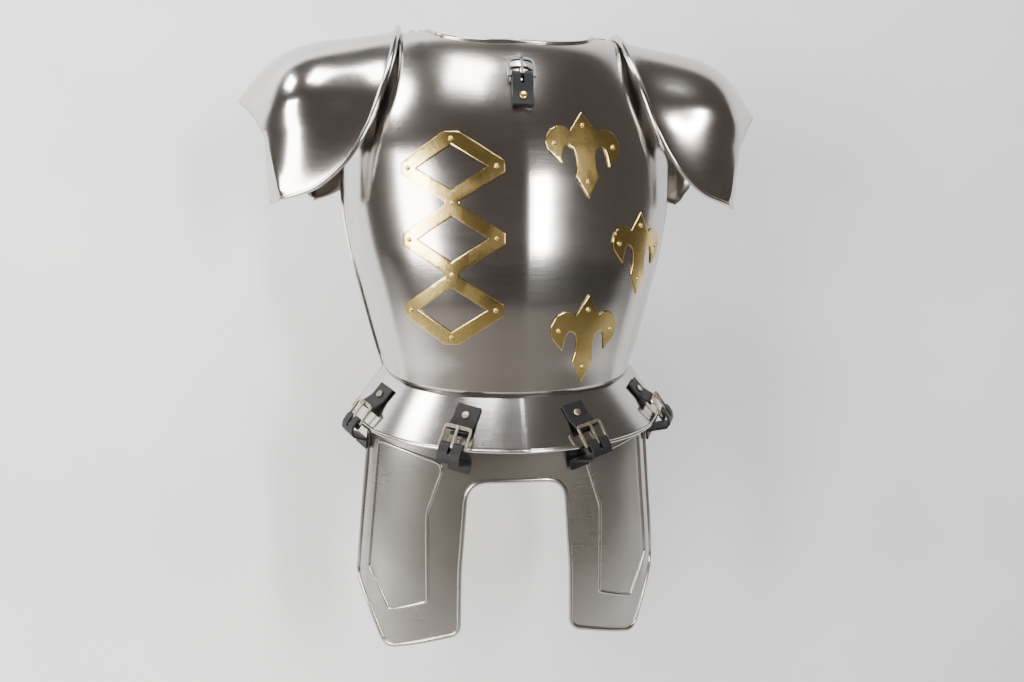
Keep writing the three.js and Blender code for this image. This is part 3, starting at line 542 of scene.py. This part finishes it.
def pauldron(name, side):
    stations = np.linspace(0, 1, 181)
    acrosses = np.linspace(0, 1, 65)
    places = [[pauldron_point(s, a, side) for a in acrosses] for s in stations]
    shell = bent_sheet(f"{name}_shell", places, (side * 190, 0, -110), LAME)
    rim = [pauldron_point(s, 0.0, side) for s in stations]
    radii = [1.9 + 1.4 * math.sin(math.pi * s) ** 1.5 for s in stations]
    roll = rolled_edge(f"{name}_rim_roll", rim, radii)
    return shell, roll


left_shell, left_roll = pauldron("pauldron_left", 1)
right_shell, right_roll = pauldron("pauldron_right", -1)
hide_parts("pauldron_left")
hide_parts("pauldron_right")
print("pauldron faces", len(left_shell.data.polygons))

# %% [markdown]
# The ornaments are sawn from brass sheet, filed to a bevel along the border, bent to the
# breastplate and riveted on. Here each outline is filled flat, cut into small squares so
# that it can bend, given its thickness and bevel, and then laid on the chest.

# %% Brass


def chest_face(x, z):
    low, high = 0.0, 89.0
    for _ in range(24):
        middle = (low + high) / 2
        low, high = (middle, high) if chest_point(middle, z)[0] < abs(x) else (low, middle)
    angle = math.copysign(low, x)
    along = chest_point(angle + 1, z) - chest_point(angle - 1, z)
    up = chest_point(angle, z + 1) - chest_point(angle, z - 1)
    normal = np.cross(along, up)
    return chest_point(angle, z), normal / np.linalg.norm(normal)


def along_chest(x, distance, z):
    for _ in range(12):
        normal = chest_face(x, z)[1]
        x += distance / 12 * math.hypot(normal[1], normal[2])
    return x


def brass_sheet(name, loops, rivets, start_x):
    """loops and rivets are flat, in millimetres sideways from start_x and in height."""
    bm = bmesh.new()
    for loop in loops:
        ring = [bm.verts.new((x, 0, z)) for x, z in loop]
        for a, b in zip(ring, ring[1:] + ring[:1]):
            bm.edges.new((a, b))
    bmesh.ops.triangle_fill(bm, edges=bm.edges, use_beauty=True)
    bmesh.ops.dissolve_limit(bm, angle_limit=0.01, verts=bm.verts, edges=bm.edges)
    bmesh.ops.recalc_face_normals(bm, faces=bm.faces)
    if sum(face.normal.y for face in bm.faces) > 0:
        bmesh.ops.reverse_faces(bm, faces=bm.faces)
    top = bmesh.ops.extrude_face_region(bm, geom=bm.faces[:])
    raised = [item for item in top["geom"] if isinstance(item, bmesh.types.BMVert)]
    bmesh.ops.translate(bm, verts=raised, vec=(0, -1.2, 0))
    bm.normal_update()
    border = [edge for edge in bm.edges if len(edge.link_faces) == 2
              and all(vert.co.y < -1 for vert in edge.verts)
              and edge.link_faces[0].normal.dot(edge.link_faces[1].normal) < 0.5]
    bmesh.ops.bevel(bm, geom=border, offset=0.75, affect="EDGES", segments=2, profile=0.5,
                    material=-1, clamp_overlap=True)
    xs = [vert.co.x for vert in bm.verts]
    zs = [vert.co.z for vert in bm.verts]
    for axis, values in ((0, xs), (2, zs)):
        for cut in np.arange(math.floor(min(values) / 5) * 5 + 5, max(values), 5.0):
            normal, place = [0, 0, 0], [0, 0, 0]
            normal[axis], place[axis] = 1, float(cut)
            bmesh.ops.bisect_plane(bm, geom=bm.verts[:] + bm.edges[:] + bm.faces[:],
                                   plane_co=place, plane_no=normal)
    for vert in bm.verts:
        x = along_chest(start_x, vert.co.x, vert.co.z)
        point, normal = chest_face(x, vert.co.z)
        vert.co = Vector((point + normal * (0.35 - vert.co.y)) * MM)
    for x, z in rivets:
        point, normal = chest_face(along_chest(start_x, x, z), z)
        dome = bmesh.ops.create_uvsphere(bm, u_segments=20, v_segments=12, radius=1)["verts"]
        bmesh.ops.scale(bm, verts=dome, vec=(2.5 * MM, 2.5 * MM, 1.9 * MM))
        turn = Vector(normal).to_track_quat("Z", "Y").to_matrix()
        bmesh.ops.rotate(bm, verts=dome, matrix=turn)
        bmesh.ops.translate(bm, verts=dome, vec=Vector((point + normal * 1.35) * MM))
    mesh = bpy.data.meshes.new(name)
    bm.to_mesh(mesh)
    bm.free()
    piece = link(name, mesh)
    mesh.set_sharp_from_angle(angle=math.radians(25))
    even = piece.modifiers.new("even shading", "WEIGHTED_NORMAL")
    even.keep_sharp = True
    return piece


LILY = [
    # sideways, height, corner radius
    (0.0, 1.0, 0), (0.354, 0.775, 0), (0.48, 0.815, 5), (0.66, 0.82, 6), (0.88, 0.775, 8),
    (1.02, 0.65, 9), (0.97, 0.53, 8), (0.65, 0.378, 0), (0.61, 0.50, 4), (0.545, 0.585, 4),
    (0.437, 0.60, 4), (0.31, 0.565, 4), (0.26, 0.49, 5), (0.255, 0.36, 3), (0.32, 0.253, 0),
    (0.0, 0.0, 0),
]
LILIES = {
    # middle x, foot height, half width, length, lean
    "lily_upper": (58.5, -158, 38.5, 81, 5.8),
    "lily_side": (119.5, -247.5, 38, 80, 0),
    "lily_lower": (61.5, -333.5, 37.5, 86, -3.9),
}
brass_pieces = []
for name, (x, foot, half_width, length, lean) in LILIES.items():
    other = [(-a, b, r) for a, b, r in reversed(LILY[1:-1])]
    corners = [(a * half_width + lean * (0.5 - b), foot + b * length, r)
               for a, b, r in LILY + other]
    spots = [(a * half_width + lean * (0.5 - b), foot + b * length)
             for a, b in ((0, 0.84), (-0.8, 0.61), (0.8, 0.61), (0, 0.19))]
    lily = brass_sheet(f"{name}_sheet", [rounded(corners, closed=True, steps=8)], spots, x)
    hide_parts(name)
    brass_pieces.append(lily)

CHAIN = {"x": -66, "top": -98, "bottom": -294, "count": 3, "half_width": 49, "strip": 12.5}
strip, half_width = CHAIN["strip"], CHAIN["half_width"]
step = (CHAIN["top"] - CHAIN["bottom"]) / CHAIN["count"]
right_side, holes, chain_rivets = [], [], [(0, CHAIN["top"] - 0.55 * strip)]
for i in range(CHAIN["count"]):
    upper = CHAIN["top"] - i * step
    middle = upper - step / 2
    is_last = i + 1 == CHAIN["count"]
    neck = 0.55 * strip
    right_side += [
        (neck, upper - (0.12 * strip if i else 0)), (half_width, middle + 0.4 * strip),
        (half_width, middle - 0.4 * strip), (neck, upper - step + (0 if is_last else 0.12 * strip)),
    ]
    holes.append([(a * (half_width - 1.25 * strip), middle + b * (step / 2 - 0.95 * strip))
                  for a, b in ((0, 1), (-1, 0), (0, -1), (1, 0))])
    chain_rivets += [(-(half_width - 0.6 * strip), middle), (half_width - 0.6 * strip, middle),
                     (0, upper - step + (0.55 * strip if is_last else 0))]
left_side = [(-x, z) for x, z in reversed(right_side)]
chain = brass_sheet("lozenge_chain_sheet", [right_side + left_side] + holes,
                    chain_rivets, CHAIN["x"])
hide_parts("lozenge_chain")
brass_pieces.append(chain)
print("brass pieces", [piece.name for piece in brass_pieces])

# %% [markdown]
# A finish is a small network of shader nodes. The class below keeps it readable: a wire
# can be added, multiplied or mixed as in a sum, and every other node comes from one
# method that takes its settings and its inputs.

# %% Shader helpers


class Wire:
    def __init__(self, finish, socket):
        self.finish, self.socket = finish, socket

    def math(self, operation, *values):
        return self.finish.node("ShaderNodeMath", {"operation": operation}, dict(enumerate(values)))

    def __add__(self, other):
        return self.math("ADD", self, other)

    def __mul__(self, other):
        return self.math("MULTIPLY", self, other)

    def __sub__(self, other):
        return self.math("SUBTRACT", self, other)

    def __rsub__(self, other):
        return self.math("SUBTRACT", other, self)

    __radd__ = __add__
    __rmul__ = __mul__


class Finish:
    def __init__(self, name, **sockets):
        self.material = bpy.data.materials.new(name)
        self.material.use_nodes = True
        self.tree = self.material.node_tree
        self.surface = self.tree.nodes["Principled BSDF"]
        for socket, value in sockets.items():
            self.surface.inputs[socket.replace("_", " ")].default_value = value
        coordinates = self.tree.nodes.new("ShaderNodeTexCoord")
        self.place = Wire(self, coordinates.outputs["Object"])

    def node(self, kind, settings=None, inputs=None, output=0):
        made = self.tree.nodes.new(kind)
        for setting, value in (settings or {}).items():
            if setting == "stops":
                ramp = made.color_ramp
                while len(ramp.elements) < len(value):
                    ramp.elements.new(0.5)
                for element, (position, shade) in zip(ramp.elements, value):
                    element.position, element.color = position, shade
            else:
                setattr(made, setting, value)
        for socket, value in (inputs or {}).items():
            if isinstance(value, Wire):
                self.tree.links.new(value.socket, made.inputs[socket])
            else:
                made.inputs[socket].default_value = value
        return Wire(self, made.outputs[output])

    def noise(self, scale, detail=3.0, stretch=(1, 1, 1), roughness=0.5):
        place = self.node("ShaderNodeMapping", {}, {"Vector": self.place, "Scale": stretch})
        return self.node("ShaderNodeTexNoise", {},
                         {"Vector": place, "Scale": scale, "Detail": detail,
                          "Roughness": roughness})

    def between(self, mask, low, high):
        """mask runs from 0 to 1 between two of its own values."""
        return self.node("ShaderNodeMapRange", {},
                         {"Value": mask, "From Min": low, "From Max": high})

    def mix(self, mask, first, second):
        return self.node("ShaderNodeMix", {"data_type": "RGBA"},
                         {0: mask, 6: first, 7: second}, output=2)

    def feed(self, socket, wire):
        self.tree.links.new(wire.socket, self.surface.inputs[socket])

    def bump(self, height, strength, distance):
        normal = self.node("ShaderNodeBump", {},
                           {"Height": height, "Strength": strength, "Distance": distance})
        self.feed("Normal", normal)


def dress(finish, slot, *pieces):
    for piece in pieces:
        if piece.name in nodes:
            piece.material_slots[0].link = "OBJECT"
            piece.material_slots[0].material = finish.material
            continue
        piece.data.materials.clear()
        piece.data.materials.append(finish.material)
        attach(piece, BODY)


print("shader helpers ready")

# %% [markdown]
# The steel is polished but not a mirror: fine lines from the wheel, a faint haze and a
# little warm staining soften its reflections.

# %% Polished steel
steel = Finish("polished_steel", Metallic=1.0)
haze = steel.noise(7.0, 4.0)
stain = steel.between(steel.noise(4.2, 5.0, (1, 1, 0.6)), 0.42, 0.68)
lines = steel.noise(160.0, 2.0, (0.25, 0.25, 4.0))
specks = steel.between(steel.noise(95.0, 6.0), 0.62, 0.78)
warm = steel.mix(stain, (0.61, 0.585, 0.565, 1), (0.50, 0.455, 0.415, 1))
steel.feed("Base Color", steel.mix(specks * 0.35, warm, (0.42, 0.38, 0.33, 1)))
steel.feed("Roughness", 0.06 + haze * 0.15 + lines * 0.05)
steel.bump(lines * 0.5 + haze * 0.5, 0.10, 0.0006)
print("steel finish", len(steel.tree.nodes), "nodes")

# %% [markdown]
# The skirt plate's steel is rougher and looks flatter than the rest. Its colour is a darker,
# warmer copy of the polished steel, which is painted shade.

# %% Skirt steel
shaded_skirt_steel = Finish("shaded_satin_steel", Metallic=1.0)
skirt_haze = shaded_skirt_steel.noise(9.0, 5.0)
skirt_lines = shaded_skirt_steel.noise(140.0, 2.0, (0.3, 0.3, 3.0))
# painted shade: both tones are darker and warmer than the polished steel's, so the skirt plate
# looks shaded under any lamp
shaded_skirt_steel.feed("Base Color", shaded_skirt_steel.mix(shaded_skirt_steel.between(skirt_haze, 0.4, 0.65),
                                 (0.47, 0.45, 0.42, 1), (0.36, 0.335, 0.305, 1)))
shaded_skirt_steel.feed("Roughness", 0.15 + skirt_haze * 0.16 + skirt_lines * 0.05)
shaded_skirt_steel.bump(skirt_lines, 0.04, 0.0006)
print("skirt finish", len(shaded_skirt_steel.tree.nodes), "nodes")

# %% [markdown]
# The brass sheet is semi-polished, with darker, browner patches where it has tarnished.

# %% Brass finish
brass = Finish("gilding_brass", Metallic=1.0)
tarnish = brass.between(brass.noise(26.0, 6.0), 0.44, 0.66)
grit = brass.noise(420.0, 3.0)
brass.feed("Base Color", brass.mix(tarnish, (0.74, 0.57, 0.22, 1), (0.44, 0.31, 0.11, 1)))
brass.feed("Roughness", 0.14 + tarnish * 0.16 + grit * 0.06)
brass.bump(grit, 0.12, 0.0004)
print("brass finish", len(brass.tree.nodes), "nodes")

# %% [markdown]
# The buckles are antique brass, the chest buckle is blacked, and the leather is black with
# a fine grain and a dull shine.

# %% Buckles and leather
antique = Finish("antique_brass", Metallic=1.0)
antique_wear = antique.between(antique.noise(180.0, 4.0), 0.4, 0.65)
antique.feed("Base Color", antique.mix(antique_wear, (0.46, 0.41, 0.32, 1), (0.24, 0.20, 0.145, 1)))
antique.feed("Roughness", 0.28 + antique_wear * 0.2)
blacked = Finish("blacked_metal", Metallic=0.6)
blacked_wear = blacked.noise(240.0, 3.0)
blacked.feed("Base Color", blacked.mix(blacked_wear,
                                       (0.012, 0.012, 0.014, 1), (0.03, 0.03, 0.033, 1)))
blacked.feed("Roughness", 0.16 + blacked_wear * 0.14)
leather = Finish("black_leather", Specular_IOR_Level=0.22, Coat_Weight=0.06, Coat_Roughness=0.4)
grain = leather.node("ShaderNodeTexVoronoi", {}, {"Vector": leather.place, "Scale": 900.0})
creases = leather.noise(210.0, 5.0)
leather.feed("Base Color", leather.mix(creases, (0.006, 0.006, 0.007, 1), (0.018, 0.017, 0.017, 1)))
leather.feed("Roughness", 0.38 + creases * 0.2)
leather.bump(grain * 0.6 + creases * 0.4, 0.35, 0.0004)
print("leather finish", len(leather.tree.nodes), "nodes")

# %% [markdown]
# Each piece gets its finish, and the small solids that are right as they are keep their
# shape. Welding their loose triangles and breaking their corners with a small bevel makes
# the leather and the buckles catch the light along their edges.

# %% Dressing
dress(steel, "polished_steel", breast, neck_roll, back, nape_roll, band, band_roll,
      left_shell, left_roll, right_shell, right_roll)
dress(shaded_skirt_steel, "polished_steel", tasset, tasset_roll, *panel_beads)
dress(brass, "gilding_brass", *brass_pieces)
finish_of = {"strap": leather, "tab": leather, "rivet": antique, "buckle": antique,
             "prong": antique}
for name, node in nodes.items():
    kind = "strap" if name.startswith("shoulder_strap") else name.split("_")[-1]
    if kind not in finish_of or not node.visible_get():
        continue
    finish = blacked if name in ("chest_buckle", "chest_prong") else finish_of[kind]
    finish = brass if name == "chest_rivet" else finish
    dress(finish, None, node)
    weld = node.modifiers.new("weld", "WELD")
    weld.merge_threshold = 1e-6
    softer = node.modifiers.new("broken corners", "BEVEL")
    softer.width = 0.35 * MM
    softer.segments = 2
    softer.limit_method = "ANGLE"
    softer.angle_limit = math.radians(40)
print("finishes", len(bpy.data.materials))

# %% [markdown]
# The suit hangs in front of a pale backdrop, whose bluish-grey blotches are painted shade of a
# crumpled sheet, over a floor whose colour fades to dark ahead of it, painted shade for the dim
# room in front. Tall soft lamps stand at the left and the right, with two smaller ones above
# them, and the room in front is darker than the backdrop. That is what gives polished steel its
# light borders and dark middle. From behind, the backdrop is left out.

# %% Floor and light
pale = Finish("pale_paint", Roughness=0.9)
# painted shade: noise blotches of bluish grey on the flat backdrop stand for the shade in the folds
# of a crumpled sheet
crumple_shade = pale.noise(2.2, 5.0)
pale.feed("Base Color", pale.mix(pale.between(crumple_shade, 0.3, 0.7),
                                 (0.74, 0.76, 0.80, 1), (0.90, 0.90, 0.89, 1)))
geometry = pale.node("ShaderNodeNewGeometry", output=6)
pale.feed("Alpha", 1 - geometry)


ground = Finish("pale_floor", Roughness=0.9)
ground_parts = ground.tree.nodes.new("ShaderNodeSeparateXYZ")
ground.tree.links.new(ground.place.socket, ground_parts.inputs[0])
# painted shade: the floor's colour darkens from pale to near black ahead of the suit, standing for
# the dim room in front, which the steel reflects
painted_dark_ahead = ground.between(Wire(ground, ground_parts.outputs["Y"]), -0.25, -0.75)
ground.feed("Base Color", ground.mix(painted_dark_ahead, (0.72, 0.72, 0.72, 1), (0.10, 0.09, 0.08, 1)))


def stage_sheet(name, finish, size, turn, place):
    bm = bmesh.new()
    bmesh.ops.create_grid(bm, x_segments=1, y_segments=1, size=size)
    bmesh.ops.rotate(bm, verts=bm.verts, matrix=Matrix.Rotation(turn, 3, "X"))
    bmesh.ops.translate(bm, verts=bm.verts, vec=place)
    mesh = bpy.data.meshes.new(name)
    bm.to_mesh(mesh)
    bm.free()
    sheet = bpy.data.objects.new(name, mesh)
    bpy.context.scene.collection.objects.link(sheet)
    mesh.materials.append(finish.material)


stage_sheet("floor", ground, 4, 0, (0, 0, -0.90))
stage_sheet("backdrop", pale, 1.6, math.radians(90), (0, 0.19, 0.70))

world = bpy.data.worlds.new("room")
bpy.context.scene.world = world
world.use_nodes = True
room = world.node_tree
coordinates = room.nodes.new("ShaderNodeTexCoord")
split = room.nodes.new("ShaderNodeSeparateXYZ")
room.links.new(coordinates.outputs["Generated"], split.inputs[0])
ramp = room.nodes.new("ShaderNodeValToRGB")
ROOM_STOPS = [(0.15, (0.105, 0.090, 0.080, 1)), (0.76, (0.75, 0.76, 0.78, 1)),
              (0.52, (0.12, 0.11, 0.10, 1))]
ramp_ends = [ramp.color_ramp.elements[0], ramp.color_ramp.elements[1]]
for element, (position, shade) in zip(ramp_ends + [ramp.color_ramp.elements.new(0.5)], ROOM_STOPS):
    element.position, element.color = position, shade
spread = room.nodes.new("ShaderNodeMapRange")
spread.inputs["From Min"].default_value = -1
room.links.new(split.outputs["Y"], spread.inputs["Value"])
room.links.new(spread.outputs[0], ramp.inputs[0])
room.links.new(ramp.outputs[0], room.nodes["Background"].inputs["Color"])
room.nodes["Background"].inputs["Strength"].default_value = 1.0


def soft_lamp(name, place, size, power, colour):
    data = bpy.data.lights.new(name, "AREA")
    data.shape = "RECTANGLE"
    data.size, data.size_y = size
    data.energy = power
    data.color = colour
    lamp = bpy.data.objects.new(name, data)
    bpy.context.scene.collection.objects.link(lamp)
    lamp.location = place
    beam = Vector((0, 0, -0.25)) - lamp.location
    lamp.rotation_euler = beam.to_track_quat("-Z", "Y").to_euler()


soft_lamp("left", (-1.42, -1.10, -0.02), (0.62, 1.0), 50, (1.0, 0.985, 0.96))
soft_lamp("right", (0.78, -1.75, 0.10), (0.22, 0.8), 30, (1.0, 0.99, 0.98))
soft_lamp("upper left", (-0.42, -0.68, 1.40), (0.42, 0.45), 15, (1.0, 0.99, 0.98))
soft_lamp("upper right", (0.24, -0.74, 1.40), (0.22, 0.45), 11, (0.98, 0.99, 1.0))
soft_lamp("wall left", (-1.1, -0.25, 0.9), (0.3, 0.3), 9, (1.0, 0.99, 0.97))
print("lights ready")

# %% [markdown]
# Last, the view layer is brought up to date.

# %% Update
bpy.context.view_layer.update()
